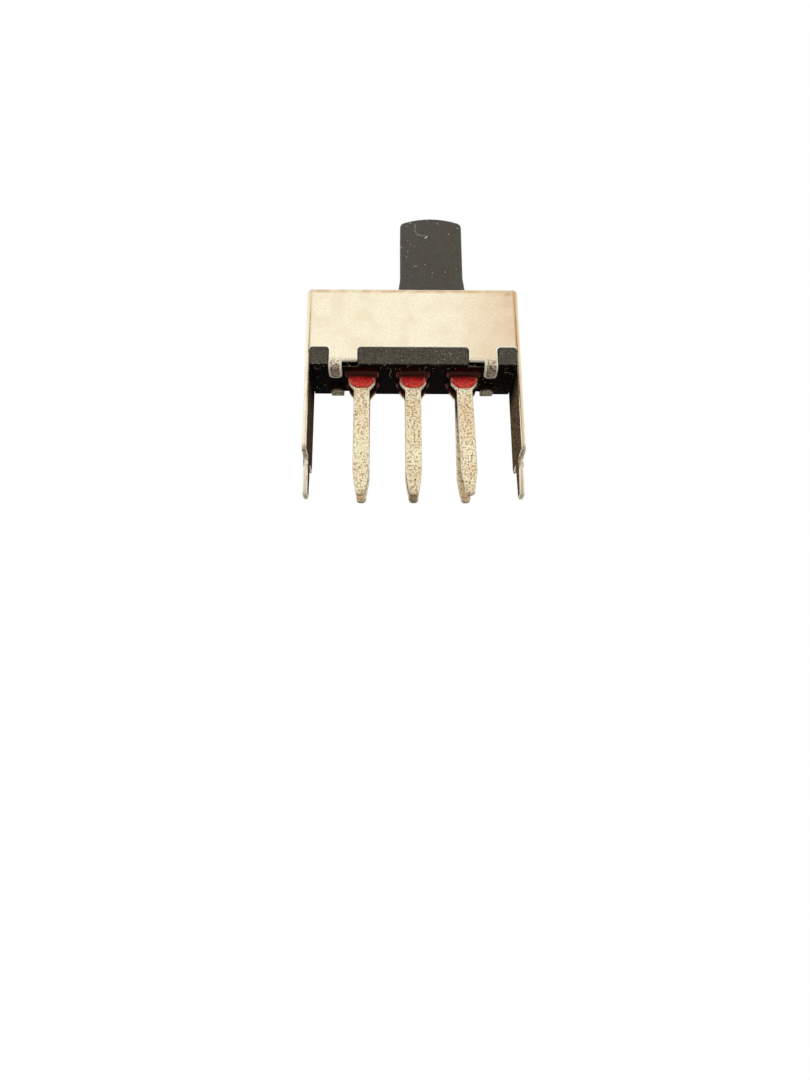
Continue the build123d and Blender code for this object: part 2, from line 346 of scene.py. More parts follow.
def base_edge():
    """The same plastic, rubbed along its edges."""
    material, tree, into = new_material("base_edge", {"Roughness": 0.55, "Specular IOR Level": 0.1})
    grey = moulded_grey(tree, base_edge_black, base_edge_grey, base_edge_dust)
    tree.links.new(grey, into["Base Color"])
    return material


eased_copy("terminal_base", "frame", base_edge_size, base_plastic(), base_edge())

# Terminals
# Six blades with tapered pins, blanked from brass strip and dipped in tin, pushed up through the base.
# The tin is dull and pitted all over; it is thin on the sheared edges, where brass shows.
rows = ["front", "rear"]
sides = ["left", "centre", "right"]
strip_edge_size = 0.06 * millimetre
# Painted shade: the inner faces of the blades darken to brown over this height below the base.
painted_shade_top = base_low.z - 2.0 * millimetre
painted_shade_end = base_low.z - 4.5 * millimetre
rubbed_level = 0.8 * millimetre
rubbed_half_height = 2.6 * millimetre
tin_shade = (0.92, 0.75, 0.50, 1)
tin_cream = (1.0, 0.92, 0.66, 1)
tin_gold = (1.0, 0.93, 0.62, 1)
pit_tan = (0.62, 0.45, 0.25, 1)
pit_brown = (0.22, 0.14, 0.075, 1)
brass_dark = (0.14, 0.10, 0.05, 1)
brass_pale = (0.42, 0.33, 0.18, 1)
# Painted shade on the inner faces of the blades: darker for the outer blades, lighter for the centre
# ones.
painted_shade_pits = (0.34, 0.26, 0.16, 1)
painted_shade_tin = (0.54, 0.43, 0.28, 1)
light_shade_pits = (0.50, 0.38, 0.23, 1)
light_shade_tin = (0.93, 0.78, 0.54, 1)
# Painted shade near the base, on the faces that look in between the rows.
painted_shade_dark = (0.030, 0.018, 0.010, 1)
painted_shade_brown = (0.085, 0.055, 0.032, 1)
strip_edge_tan = (0.66, 0.53, 0.34, 1)
strip_edge_bright = (0.95, 0.88, 0.70, 1)
# Painted shade for the inner edges near the base.
strip_edge_painted_shade = (0.11, 0.075, 0.045, 1)


def inward_group():
    """Faces that look in at the middle plane between the two rows: 1 on them, 0 on all others."""
    group, given, made = new_group("inward faces", ["Least Distance"], ["Mask"])
    depth = times(group, axes(group, "Normal")["Y"], axes(group, "Object")["Y"])
    past_least = reckon(group, "ADD", depth, given["Least Distance"])
    group.links.new(below(group, past_least, 0.0), made["Mask"])
    return group


inward = inward_group()


def inwards(tree, least_distance):
    """The mask of inward faces, placed in a material."""
    sockets = {"Least Distance": least_distance}
    return add_node(tree, "ShaderNodeGroup", sockets, node_tree=inward).outputs["Mask"]


def near_base(tree):
    """How far painted shade runs down the inner faces from the base."""
    return rise(tree, axes(tree, "Object")["Z"], zero_at=painted_shade_end, one_at=painted_shade_top)


def pitted_tin():
    """Dull tin: cream with fine tan pits, brass where the strip was sheared; painted shade on the inner
    faces, darker on the outer blades and dark brown near the base.
    """
    material, tree, into = new_material("pitted_tin", {"Specular IOR Level": 0.0})
    place = axes(tree, "Object")
    cloud = mottled(tree, patch_size=1.6 * millimetre, dark_below=0.36, pale_above=0.64)
    cream = mixed(tree, cloud, tin_shade, tin_cream)
    leftmost = rise(tree, place["X"], zero_at=0.5 * terminal_pitch, one_at=-terminal_pitch)
    low = banded(tree, place["Z"], level=rubbed_level, half_width=rubbed_half_height)
    rubbed = times(tree, low, between(tree, leftmost, at_zero=0.3, at_one=1.0))
    golden = mixed(tree, rubbed, cream, tin_gold)
    unpitted = mottled(tree, patch_size=0.18 * millimetre, dark_below=0.35, pale_above=0.54)
    filled_share = 0.75
    filled = either(tree, unpitted, times(tree, rubbed, filled_share))
    coat = mixed(tree, filled, pit_tan, golden)
    shallow = mottled(tree, patch_size=0.17 * millimetre, dark_below=0.33, pale_above=0.40)
    pitted = mixed(tree, shallow, pit_brown, coat)

    sheared = rise(tree, unsigned(tree, axes(tree, "Normal")["X"]), zero_at=0.75, one_at=0.95)
    brass = mixed(tree, unpitted, brass_dark, brass_pale)
    outer = mixed(tree, sheared, pitted, brass)
    # Painted shade: the faces that look in between the rows, the rear pins' fronts among them, get darker
    # tin.
    inner_face = inwards(tree, least_distance=0.3 * millimetre)
    darker_shade = mixed(tree, unpitted, painted_shade_pits, painted_shade_tin)
    less_shaded = mixed(tree, unpitted, light_shade_pits, light_shade_tin)
    off_centre = rise(
        tree,
        unsigned(tree, place["X"]),
        zero_at=0.3 * terminal_pitch,
        one_at=0.8 * terminal_pitch,
    )
    with_painted_shade = mixed(tree, inner_face, outer, mixed(tree, off_centre, darker_shade, less_shaded))
    # Painted shade: the inner faces go dark brown near the base.
    painted_shade_near_base = times(tree, inner_face, near_base(tree))
    near_base_shade_colour = mixed(tree, unpitted, painted_shade_dark, painted_shade_brown)
    tree.links.new(mixed(tree, painted_shade_near_base, with_painted_shade, near_base_shade_colour), into["Base Color"])
    tree.links.new(others(tree, painted_shade_near_base), into["Metallic"])
    tree.links.new(between(tree, unpitted, at_zero=0.6, at_one=0.42), into["Roughness"])
    bumped(tree, into, unpitted, depth=0.010 * millimetre)
    return material


def bright_tin():
    """Tin rubbed bright along the outer edges of the strip, with painted shade on the inner edges near
    the base.
    """
    material, tree, into = new_material("bright_tin", {"Specular IOR Level": 0.0})
    rubbed = mottled(tree, patch_size=0.3 * millimetre, dark_below=0.30, pale_above=0.55)
    bright = mixed(tree, rubbed, strip_edge_tan, strip_edge_bright)
    # Painted shade: the inner edges go dark brown near the base.
    painted_shade_near_base = times(tree, inwards(tree, least_distance=0.2 * millimetre), near_base(tree))
    tree.links.new(mixed(tree, painted_shade_near_base, bright, strip_edge_painted_shade), into["Base Color"])
    tree.links.new(others(tree, painted_shade_near_base), into["Metallic"])
    tree.links.new(between(tree, rubbed, at_zero=0.45, at_one=0.32), into["Roughness"])
    return material


tin = pitted_tin()
tin_edge = bright_tin()
for row in rows:
    for side in sides:
        eased_copy(f"terminal_{row}_{side}", "frame", strip_edge_size, tin, tin_edge)

# Seals
# A drop of red resin round the root of each terminal, painted on after the terminal was pushed home.
# It sets glossy, thin over the shoulder, with soft edges and a small ridge along the base.
seal_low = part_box("seal_front_centre")[0]
resin_grain = 0.03 * millimetre
resin_swell = 0.02 * millimetre
resin_corner_size = 0.3 * millimetre
resin_corner_segments = 8
resin_corner_profile = 0.5
corner_top = base_low.z - 0.4 * millimetre
straight_share = 0.99
softening_share = 0.5
softening_rounds = 14
film_inset = 0.4 * millimetre
film_spread = 0.12 * millimetre
film_low_share = 0.12
film_rise_share = 0.25
film_high_share = 0.92
film_fade_share = 0.10
dome_height = 0.16 * millimetre
scarlet_level = seal_low.z + 0.05 * millimetre
# Painted shadow: above this level the resin is painted a darker red, the shadow of the base bar.
painted_shadow_level = base_low.z - 0.65 * millimetre
ridge_low = base_low.z - 0.75 * millimetre
ridge_high = base_low.z - 0.3 * millimetre
painted_shadow_crimson_dark = (0.34, 0.008, 0.008, 1)
painted_shadow_crimson_pale = (0.66, 0.024, 0.020, 1)
scarlet_dark = (0.70, 0.034, 0.023, 1)
scarlet_pale = (0.98, 0.115, 0.082, 1)
thin_pink = (0.92, 0.22, 0.16, 1)
# Painted shade: the ridge along the base is painted dark maroon.
ridge_painted_shade = (0.064, 0.013, 0.007, 1)
ridge_end_red = (0.34, 0.045, 0.038, 1)
# Painted shade: near-black red for the faces of the drops that look in between the rows.
painted_shade_resin = (0.040, 0.004, 0.003, 1)


def seal_resin():
    """Glossy red resin, scarlet low down, with painted shade: darker red above for the shadow of the
    base, dark in the ridge, near black on the inner faces.
    """
    material, tree, into = new_material("seal_resin", {"Specular IOR Level": 0.14})
    place = axes(tree, "Object")
    uneven = mottled(tree, patch_size=0.18 * millimetre, dark_below=0.34, pale_above=0.66)
    painted_shadow_crimson = mixed(tree, uneven, painted_shadow_crimson_dark, painted_shadow_crimson_pale)
    scarlet = mixed(tree, uneven, scarlet_dark, scarlet_pale)
    # Painted shadow of the base bar: darker red towards the top of each drop.
    height = rise(tree, place["Z"], zero_at=scarlet_level, one_at=painted_shadow_level)
    red = mixed(tree, height, scarlet, painted_shadow_crimson)
    beside = reckon(tree, "PINGPONG", place["X"], terminal_pitch / 2)
    margin = rise(tree, beside, zero_at=0.7 * millimetre, one_at=1.05 * millimetre)
    thinned = mixed(tree, times(tree, margin, uneven), red, thin_pink)
    ridge_end = rise(tree, beside, zero_at=1.2 * millimetre, one_at=1.4 * millimetre)
    # Painted shade in the ridge, a little lighter at its ends.
    ridge_red = mixed(tree, ridge_end, ridge_painted_shade, ridge_end_red)
    ridge = rise(tree, place["Z"], zero_at=ridge_low, one_at=ridge_high)
    less_shaded = mixed(tree, ridge, thinned, ridge_red)
    # Painted shade on the faces that look in between the rows.
    inner_faces_shaded = inwards(tree, least_distance=0.2 * millimetre)
    tree.links.new(mixed(tree, inner_faces_shaded, less_shaded, painted_shade_resin), into["Base Color"])
    tree.links.new(between(tree, uneven, at_zero=0.40, at_one=0.26), into["Roughness"])
    bumped(tree, into, mottled(tree, patch_size=0.22 * millimetre), depth=0.02 * millimetre)
    return material


def round_corners(shape):
    """Rounds the outline of a film of resin at its lower corners."""
    corners = []
    for edge in shape.edges:
        start, end = (corner.co for corner in edge.verts)
        level = (start.z + end.z) / 2
        straight = abs((end - start).normalized().y) > straight_share
        if straight and level < corner_top:
            corners.append(edge)
    bmesh.ops.bevel(
        shape,
        geom=corners,
        offset=resin_corner_size,
        offset_type="OFFSET",
        segments=resin_corner_segments,
        profile=resin_corner_profile,
        affect="EDGES",
    )


def clamped(share, least=0.0):
    """A share kept from going past its ends."""
    return min(1.0, max(least, share))


def raise_dome(mesh, low, high):
    """Lets the resin stand out as a drop on each face of a blade and run out to the blade's edges."""
    middle = (low + high) / 2
    half_width = (high.x - low.x) / 2 - film_inset
    for vertex in mesh.vertices:
        across_share = (vertex.co.x - middle.x) / half_width
        up_share = (vertex.co.z - low.z) / (high.z - low.z)
        crown_share = max(0.0, 1 - across_share ** 2) * max(0.0, 4 * up_share * (1 - up_share))
        outwards = 1 if vertex.co.y > middle.y else -1
        vertex.co.y += outwards * dome_height * crown_share
        above_pin_share = clamped((up_share - film_low_share) / film_rise_share)
        below_ridge_share = clamped((film_high_share - up_share) / film_fade_share)
        side_share = clamped(across_share, least=-1.0)
        vertex.co.x += side_share * film_spread * above_pin_share * below_ridge_share


def set_drop(node, finish):
    """A solid's copy melted to soft edges, as resin sets."""
    mesh, shape = fresh_copy(node, [finish])
    round_corners(shape)
    shape.to_mesh(mesh)
    shape.free()
    worked = link_object(node + "_worked", mesh)
    grain = worked.modifiers.new("resin grain", "REMESH")
    grain.mode = "VOXEL"
    grain.voxel_size = resin_grain
    grain.use_smooth_shade = True
    soften = worked.modifiers.new("soft edges", "SMOOTH")
    soften.factor = softening_share
    soften.iterations = softening_rounds
    swell = worked.modifiers.new("swell", "DISPLACE")
    swell.strength = resin_swell
    swell.mid_level = 0.0
    drop = plain_mesh(worked)
    raise_dome(drop, *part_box(node))
    piece = link_object(node + "_set", drop)
    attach(piece, "frame")
    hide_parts(node)


resin = seal_resin()
for row in rows:
    for side in sides:
        set_drop(f"seal_{row}_{side}", resin)

# Contact clips
# Two sprung clips of thin bronze in the slider, each gripping two neighbouring blades of a row.
# Stamped and folded; they drop into pockets of the slider before it goes in.
bronze_dark = (0.56, 0.36, 0.18, 1)
bronze_pale = (0.74, 0.52, 0.30, 1)
mark_roughness = 0.1


def drawn_metal(name, dark, pale, roughness):
    """Plain bright metal with faint cloudy drawing marks, rougher where they are dark."""
    material, tree, into = new_material(name, {"Metallic": 1.0})
    cloud = mottled(tree, patch_size=0.3 * millimetre)
    rough = between(tree, cloud, at_zero=roughness + mark_roughness, at_one=roughness)
    tree.links.new(mixed(tree, cloud, dark, pale), into["Base Color"])
    tree.links.new(rough, into["Roughness"])
    return material


def refinish(node, finish):
    """Gives a solid that keeps its own shape a new finish."""
    slots = frame["nodes"][node].data.materials
    slots.clear()
    slots.append(finish)


bronze = drawn_metal("drawn_bronze", bronze_dark, bronze_pale, roughness=0.3)
for row in rows:
    refinish(f"contact_clip_{row}", bronze)

# Detent
# Two steel balls pushed apart by a small coil spring in a cross bore of the slider.
# They snap into dimples of the front and rear walls at each end of the travel.
ball_dark = (0.62, 0.62, 0.63, 1)
ball_pale = (0.76, 0.76, 0.77, 1)
wire_dark = (0.46, 0.45, 0.44, 1)
wire_pale = (0.62, 0.61, 0.60, 1)
polished = drawn_metal("polished_steel", ball_dark, ball_pale, roughness=0.12)
wire = drawn_metal("spring_wire", wire_dark, wire_pale, roughness=0.3)
refinish("detent_spring", wire)
for row in rows:
    refinish(f"detent_ball_{row}", polished)

# Slider
# The knob and the carrier inside the can, moulded in one from black plastic.
# It is dropped in from below before the base and slides between two detents.
knob_edge_size = 0.05 * millimetre
warm_dark = (0.076, 0.067, 0.050, 1)
warm_pale = (0.102, 0.091, 0.070, 1)
cool_dark = (0.070, 0.069, 0.056, 1)
cool_pale = (0.094, 0.093, 0.077, 1)
knob_dust = (0.24, 0.23, 0.19, 1)


def knob_plastic():
    """Matt black plastic, handled to a warm grey, with greener clouds."""
    material, tree, into = new_material("knob_plastic", {"Specular IOR Level": 0.3})
    warm = moulded_grey(tree, warm_dark, warm_pale, knob_dust)
    cool = moulded_grey(tree, cool_dark, cool_pale, knob_dust)
    cloud = mottled(tree, patch_size=2.4 * millimetre, dark_below=0.36, pale_above=0.64)
    tree.links.new(mixed(tree, cloud, warm, cool), into["Base Color"])
    tree.links.new(between(tree, cloud, at_zero=0.60, at_one=0.48), into["Roughness"])
    bumped(tree, into, mottled(tree, patch_size=0.09 * millimetre), depth=0.010 * millimetre)
    return material


knob_finish = knob_plastic()
eased_copy("slider", "slide_unit", knob_edge_size, knob_finish, knob_finish)

# Can
# One blank of thin steel with a champagne plating, folded over the works on all sides.
# Its tabs are crimped in under the base, and its two long end walls are the legs.
can_low, can_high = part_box("shell")
rim_size = 0.11 * millimetre
tab_top = base_low.z + 0.55 * millimetre
tab_bend_top = tab_top + 0.15 * millimetre
tab_half_width = 0.54 * millimetre
tab_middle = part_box("terminal_rear_right")[1].x + 0.5 * millimetre + tab_half_width
tab_end = can_low.y + 1.6 * millimetre
tab_round = 0.41 * millimetre
# Painted highlight: how far the front tabs' outline gives up its metal for a pale colour.
tab_highlight_share = 0.85
leg_zone = can_high.x - 0.9 * millimetre
leg_shadow_low = base_low.z - 3.0 * millimetre
leg_shadow_high = base_low.z - 0.3 * millimetre
side_bend = can_high.x - 0.36 * millimetre
side_bend_half_width = 0.20 * millimetre
top_fold = can_high.z - 0.35 * millimetre
top_fold_half_width = 0.3 * millimetre
smudge_middle = side_bend - 0.4 * millimetre
smudge_half_width = 0.8 * millimetre
smudge_level = top_fold - 0.25 * millimetre
smudge_half_height = 0.35 * millimetre
step_half_height = 0.7 * millimetre
rim_step_level = -0.3 * millimetre
rim_step_half_height = 0.9 * millimetre
# Painted shade: each right hand colour is a darker version of the left one, for the front faces towards
# the right end.
champagne_left = (0.99, 0.91, 0.70, 1)
champagne_painted_shade = (0.84, 0.68, 0.47, 1)
shade_left = (0.93, 0.83, 0.61, 1)
cloud_painted_shade = (0.79, 0.62, 0.42, 1)
grain_left = (0.88, 0.75, 0.53, 1)
grain_painted_shade = (0.73, 0.57, 0.38, 1)
fleck_brown = (0.22, 0.15, 0.09, 1)
fold_stain = (0.62, 0.40, 0.21, 1)
bend_tarnish = (0.60, 0.33, 0.15, 1)
step_bruise = (0.34, 0.25, 0.16, 1)
craze_dark = (0.23, 0.165, 0.11, 1)
craze_pale = (0.84, 0.72, 0.55, 1)
# Crazing with painted shade: a darker crazing for the faces of the tabs that look down.
shaded_craze_dark = (0.125, 0.09, 0.06, 1)
shaded_craze_pale = (0.55, 0.44, 0.31, 1)
# Painted highlight: a pale outline round the lower ends of the front tabs.
tab_painted_highlight = (0.97, 0.90, 0.74, 1)
# Painted shade: dark brown for the faces that look inwards, the legs' inner faces among them.
inside_painted_shade_dark = (0.075, 0.042, 0.027, 1)
inside_painted_shade_brown = (0.145, 0.086, 0.056, 1)
# Painted highlight: golden glints on the right leg's inner face.
leg_painted_glint = (0.68, 0.50, 0.29, 1)
leg_shadow = (0.014, 0.009, 0.006, 1)
rim_shade = (0.80, 0.69, 0.50, 1)
rim_bright = (0.98, 0.94, 0.82, 1)
rim_bruise = (0.24, 0.17, 0.10, 1)
# Painted shade for the edges of the rear tabs and of the faces that look inwards.
rear_tab_painted_shade = (0.06, 0.045, 0.03, 1)
inner_rim_painted_shade = (0.10, 0.065, 0.040, 1)


def front_tabs(tree):
    """The two front tabs below the lugs: 1 on them, 0 elsewhere on the can."""
    place = axes(tree, "Object")
    between_legs = below(tree, unsigned(tree, place["X"]), leg_zone)
    in_front = below(tree, place["Y"], 0.0)
    low = rise(tree, place["Z"], zero_at=tab_bend_top, one_at=tab_top - 0.25 * millimetre)
    return times(tree, times(tree, between_legs, in_front), low)


def tab_margin(tree):
    """A band just inside the rounded outline of a front tab."""
    place = axes(tree, "Object")
    off_middle = reckon(tree, "SUBTRACT", unsigned(tree, place["X"]), tab_middle)
    past_side = reckon(tree, "SUBTRACT", unsigned(tree, off_middle), tab_half_width - tab_round)
    past_end = reckon(tree, "SUBTRACT", place["Y"], tab_end - tab_round)
    corner = add_node(tree, "ShaderNodeCombineXYZ", {
        "X": either(tree, past_side, 0.0),
        "Y": either(tree, past_end, 0.0),
    }).outputs[0]
    reach = add_node(tree, "ShaderNodeVectorMath", {0: corner}, operation="LENGTH").outputs["Value"]
    outline = rise(
        tree,
        reach,
        zero_at=tab_round - 0.20 * millimetre,
        one_at=tab_round - 0.13 * millimetre,
    )
    return times(tree, outline, front_tabs(tree))


def can_plating():
    """Satin champagne plating: mottled, tarnished at the folds, crazed on the tabs; painted shade on its
    right side, on the faces that look inwards and on the tabs' lower faces, with painted glints on the
    right leg and a painted highlight round the front tabs.
    """
    material, tree, into = new_material("can_plating", {"Specular IOR Level": 0.0})
    place = axes(tree, "Object")
    facing = axes(tree, "Normal")
    # Painted shade: front faces darken towards the right, where less light falls.
    front = rise(tree, facing["Y"], zero_at=-0.3, one_at=-0.8)
    right_half = rise(tree, place["X"], zero_at=0.2 * can_high.x, one_at=can_high.x)
    across = times(tree, front, right_half)
    champagne = mixed(tree, across, champagne_left, champagne_painted_shade)
    shade = mixed(tree, across, shade_left, cloud_painted_shade)
    cloud = mottled(tree, patch_size=1.4 * millimetre, dark_below=0.30, pale_above=0.62)
    washed = mixed(tree, cloud, shade, champagne)
    fine = mottled(tree, patch_size=0.14 * millimetre, dark_below=0.28, pale_above=0.56)
    softened = either(tree, fine, between(tree, front, at_zero=0.5, at_one=0.0))
    grain = mixed(tree, across, grain_left, grain_painted_shade)
    plated = mixed(tree, softened, grain, washed)
    fleck = speckled(tree, cell_size=1.3 * millimetre, radius_share=0.06, kept_share=0.16)
    flecked = mixed(tree, fleck, plated, fleck_brown)

    worn = mottled(tree, patch_size=1.1 * millimetre, dark_below=0.38, pale_above=0.62)
    sideways = unsigned(tree, place["X"])
    rightwards = rise(tree, place["X"], zero_at=0.0, one_at=can_high.x)
    bend = banded(tree, sideways, level=side_bend, half_width=side_bend_half_width)
    bend_line = times(tree, bend, between(tree, rightwards, at_zero=0.4, at_one=0.85))
    fold = banded(tree, place["Z"], level=top_fold, half_width=top_fold_half_width)
    fold_line = times(tree, fold, between(tree, worn, at_zero=0.3, at_one=0.8))
    smudge_x = banded(tree, place["X"], level=smudge_middle, half_width=smudge_half_width)
    smudge_z = banded(tree, place["Z"], level=smudge_level, half_width=smudge_half_height)
    smears = mottled(tree, patch_size=0.2 * millimetre, dark_below=0.35, pale_above=0.6)
    smudge = times(tree, times(tree, smudge_x, smudge_z), smears)
    stained = mixed(tree, either(tree, smudge, fold_line), flecked, fold_stain)
    tarnished = mixed(tree, bend_line, stained, bend_tarnish)

    crazing = mottled(tree, patch_size=0.14 * millimetre, dark_below=0.40, pale_above=0.60)
    brown_grey = mixed(tree, crazing, craze_dark, craze_pale)
    shaded = mixed(tree, crazing, shaded_craze_dark, shaded_craze_pale)
    # Crazing with painted shade: faces of the tabs that look down get the darker crazing.
    downward_painted_shade = rise(tree, facing["Z"], zero_at=-0.5, one_at=-0.95)
    margin = tab_margin(tree)
    # Painted highlight round the front tabs' lower ends.
    bent = mixed(tree, margin, mixed(tree, downward_painted_shade, brown_grey, shaded), tab_painted_highlight)
    between_legs = below(tree, sideways, leg_zone)
    low = rise(tree, place["Z"], zero_at=tab_bend_top, one_at=tab_top - 0.45 * millimetre)
    crazed = mixed(tree, times(tree, between_legs, low), tarnished, bent)
    step = banded(tree, place["Z"], level=0.0, half_width=step_half_height)
    bruised = mixed(tree, times(tree, step, worn), crazed, step_bruise)

    # Painted shade: the faces that look inwards are dark brown, darkest near the base.
    leg_inside = below(tree, times(tree, facing["X"], place["X"]), -leg_zone)
    inside = either(tree, leg_inside, inwards(tree, least_distance=0.4 * millimetre))
    inside_shade_mottle = mottled(tree, patch_size=0.6 * millimetre, dark_below=0.34, pale_above=0.66)
    inside_painted_shade = mixed(tree, inside_shade_mottle, inside_painted_shade_dark, inside_painted_shade_brown)
    # Painted glints, stronger towards the right leg.
    painted_glints = mottled(tree, patch_size=0.09 * millimetre, dark_below=0.48, pale_above=0.72)
    inside_shade_with_glints = mixed(tree, times(tree, painted_glints, rightwards), inside_painted_shade, leg_painted_glint)
    shadow = rise(tree, place["Z"], zero_at=leg_shadow_low, one_at=leg_shadow_high)
    brown = mixed(tree, shadow, inside_shade_with_glints, leg_shadow)
    tree.links.new(mixed(tree, inside, bruised, brown), into["Base Color"])
    unmetallic = either(tree, inside, times(tree, margin, tab_highlight_share))
    tree.links.new(others(tree, unmetallic), into["Metallic"])
    tree.links.new(between(tree, cloud, at_zero=0.40, at_one=0.28), into["Roughness"])
    bumped(tree, into, mottled(tree, patch_size=0.1 * millimetre), depth=0.002 * millimetre)
    return material


def can_rim():
    """Plating drawn bright over the sheared edges of the sheet; painted shade on the rear tabs' edges and
    the inward edges, and a painted highlight round the front tabs.
    """
    material, tree, into = new_material("can_rim", {"Specular IOR Level": 0.0})
    place = axes(tree, "Object")
    drawn = mottled(tree, patch_size=0.3 * millimetre, dark_below=0.28, pale_above=0.5)
    bright = mixed(tree, drawn, rim_shade, rim_bright)
    worn = mottled(tree, patch_size=0.25 * millimetre, dark_below=0.40, pale_above=0.56)
    step = banded(tree, place["Z"], level=rim_step_level, half_width=rim_step_half_height)
    bruised = mixed(tree, times(tree, step, worn), bright, rim_bruise)
    between_legs = below(tree, unsigned(tree, place["X"]), leg_zone)
    low = below(tree, place["Z"], base_low.z)
    behind = rise(tree, place["Y"], zero_at=0.0, one_at=0.5 * millimetre)
    rear_tabs = times(tree, times(tree, between_legs, low), behind)
    # Painted shade: the edges of the rear tabs, below the base, are painted near black.
    with_painted_shade = mixed(tree, rear_tabs, bruised, rear_tab_painted_shade)
    # Painted highlight on the edges of the front tabs.
    highlighted_front_tabs = front_tabs(tree)
    edged = mixed(tree, highlighted_front_tabs, with_painted_shade, tab_painted_highlight)
    # Painted shade on the edges that look inwards.
    inner = inwards(tree, least_distance=0.2 * millimetre)
    tree.links.new(mixed(tree, inner, edged, inner_rim_painted_shade), into["Base Color"])
    unmetallic = either(tree, inner, times(tree, highlighted_front_tabs, tab_highlight_share))
    tree.links.new(others(tree, unmetallic), into["Metallic"])
    tree.links.new(between(tree, drawn, at_zero=0.38, at_one=0.26), into["Roughness"])
    return material


eased_copy("shell", "frame", rim_size, can_plating(), can_rim())

# Dust and lint
# Pale specks of dust on the knob and the base, and a few short fibres, picked up in use.
# They lie on the surface and go where it goes.
knob_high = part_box("slider")[1]
smallest_speck_shares = (0.4, 0.35, 0.2)
largest_speck_shares = (1.6, 1.0, 0.4)
dust_grey = (0.42, 0.39, 0.32, 1)
dust_pale = (0.86, 0.83, 0.74, 1)
fibre_roundness = 2
fibre_order = 3


def dust_tree():
    """Scatters flattened specks over the faces of a piece between two levels."""
    tree = bpy.data.node_groups.new("scattered_dust", "GeometryNodeTree")
    tree.interface.new_socket("Geometry", in_out="INPUT", socket_type="NodeSocketGeometry")
    for name in ["Specks Per Area", "Speck Size", "Lowest", "Highest", "Rearmost"]:
        tree.interface.new_socket(name, in_out="INPUT", socket_type="NodeSocketFloat")
    tree.interface.new_socket("Seed", in_out="INPUT", socket_type="NodeSocketInt")
    tree.interface.new_socket("Finish", in_out="INPUT", socket_type="NodeSocketMaterial")
    tree.interface.new_socket("Geometry", in_out="OUTPUT", socket_type="NodeSocketGeometry")
    given = tree.nodes.new("NodeGroupInput").outputs
    place = add_node(tree, "GeometryNodeInputPosition").outputs[0]
    spot = add_node(tree, "ShaderNodeSeparateXYZ", {0: place}).outputs
    above_lowest = reckon(tree, "GREATER_THAN", spot["Z"], given["Lowest"])
    below_highest = below(tree, spot["Z"], given["Highest"])
    in_front = below(tree, spot["Y"], given["Rearmost"])
    chosen = times(tree, times(tree, above_lowest, below_highest), in_front)
    points = add_node(tree, "GeometryNodeDistributePointsOnFaces", {
        "Mesh": given["Geometry"],
        "Density": times(tree, chosen, given["Specks Per Area"]),
        "Seed": given["Seed"],
    }).outputs
    grain = add_node(tree, "GeometryNodeMeshIcoSphere", {
        "Radius": given["Speck Size"],
        "Subdivisions": 1,
    })
    shares = add_node(tree, "FunctionNodeRandomValue", {
        0: smallest_speck_shares,
        1: largest_speck_shares,
        "Seed": given["Seed"],
    }, data_type="FLOAT_VECTOR")
    laid = add_node(tree, "GeometryNodeInstanceOnPoints", {
        "Points": points["Points"],
        "Instance": grain.outputs["Mesh"],
        "Rotation": points["Rotation"],
        "Scale": shares.outputs[0],
    })
    real = add_node(tree, "GeometryNodeRealizeInstances", {0: laid.outputs[0]})
    finished = add_node(tree, "GeometryNodeSetMaterial", {
        0: real.outputs[0],
        "Material": given["Finish"],
    })
    leave = tree.nodes.new("NodeGroupOutput")
    tree.links.new(finished.outputs[0], leave.inputs[0])
    return tree


def dust_finish():
    """Pale chalky dust."""
    material, tree, into = new_material("pale_dust", {"Roughness": 0.8})
    chalk = mixed(tree, mottled(tree, patch_size=0.2 * millimetre), dust_grey, dust_pale)
    tree.links.new(chalk, into["Base Color"])
    return material


scatter = dust_tree()
dust = dust_finish()


def dusted(name, source, body, settings):
    """A piece made of the dust that lies on another piece."""
    worked = link_object(name + "_worked", bpy.data.objects[source].data.copy())
    modifier = worked.modifiers.new("dust", "NODES")
    modifier.node_group = scatter
    for socket in scatter.interface.items_tree:
        if socket.name in settings:
            modifier[socket.identifier] = settings[socket.name]
    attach(link_object(name, plain_mesh(worked)), body)


dusted("knob_dust", "slider_eased", "slide_unit", {
    "Specks Per Area": 0.55 / millimetre ** 2,
    "Speck Size": 0.065 * millimetre,
    "Lowest": can_high.z + 0.1 * millimetre,
    "Highest": knob_high.z,
    "Rearmost": knob_high.y,
    "Seed": 4,
    "Finish": dust,
})
dusted("bar_dust", "terminal_base_eased", "frame", {
    "Specks Per Area": 0.45 / millimetre ** 2,
    "Speck Size": 0.03 * millimetre,
    "Lowest": base_low.z - 0.1 * millimetre,
    "Highest": base_low.z + 1.45 * millimetre,
    "Rearmost": base_low.y + 0.03 * millimetre,
    "Seed": 11,
    "Finish": dust,
})
dusted("bar_edge_dust", "terminal_base_eased", "frame", {
    "Specks Per Area": 8.0 / millimetre ** 2,
    "Speck Size": 0.036 * millimetre,
    "Lowest": base_low.z - 0.1 * millimetre,
    "Highest": base_low.z + 0.12 * millimetre,
    "Rearmost": base_low.y + 0.5 * millimetre,
    "Seed": 23,
    "Finish": dust,
})


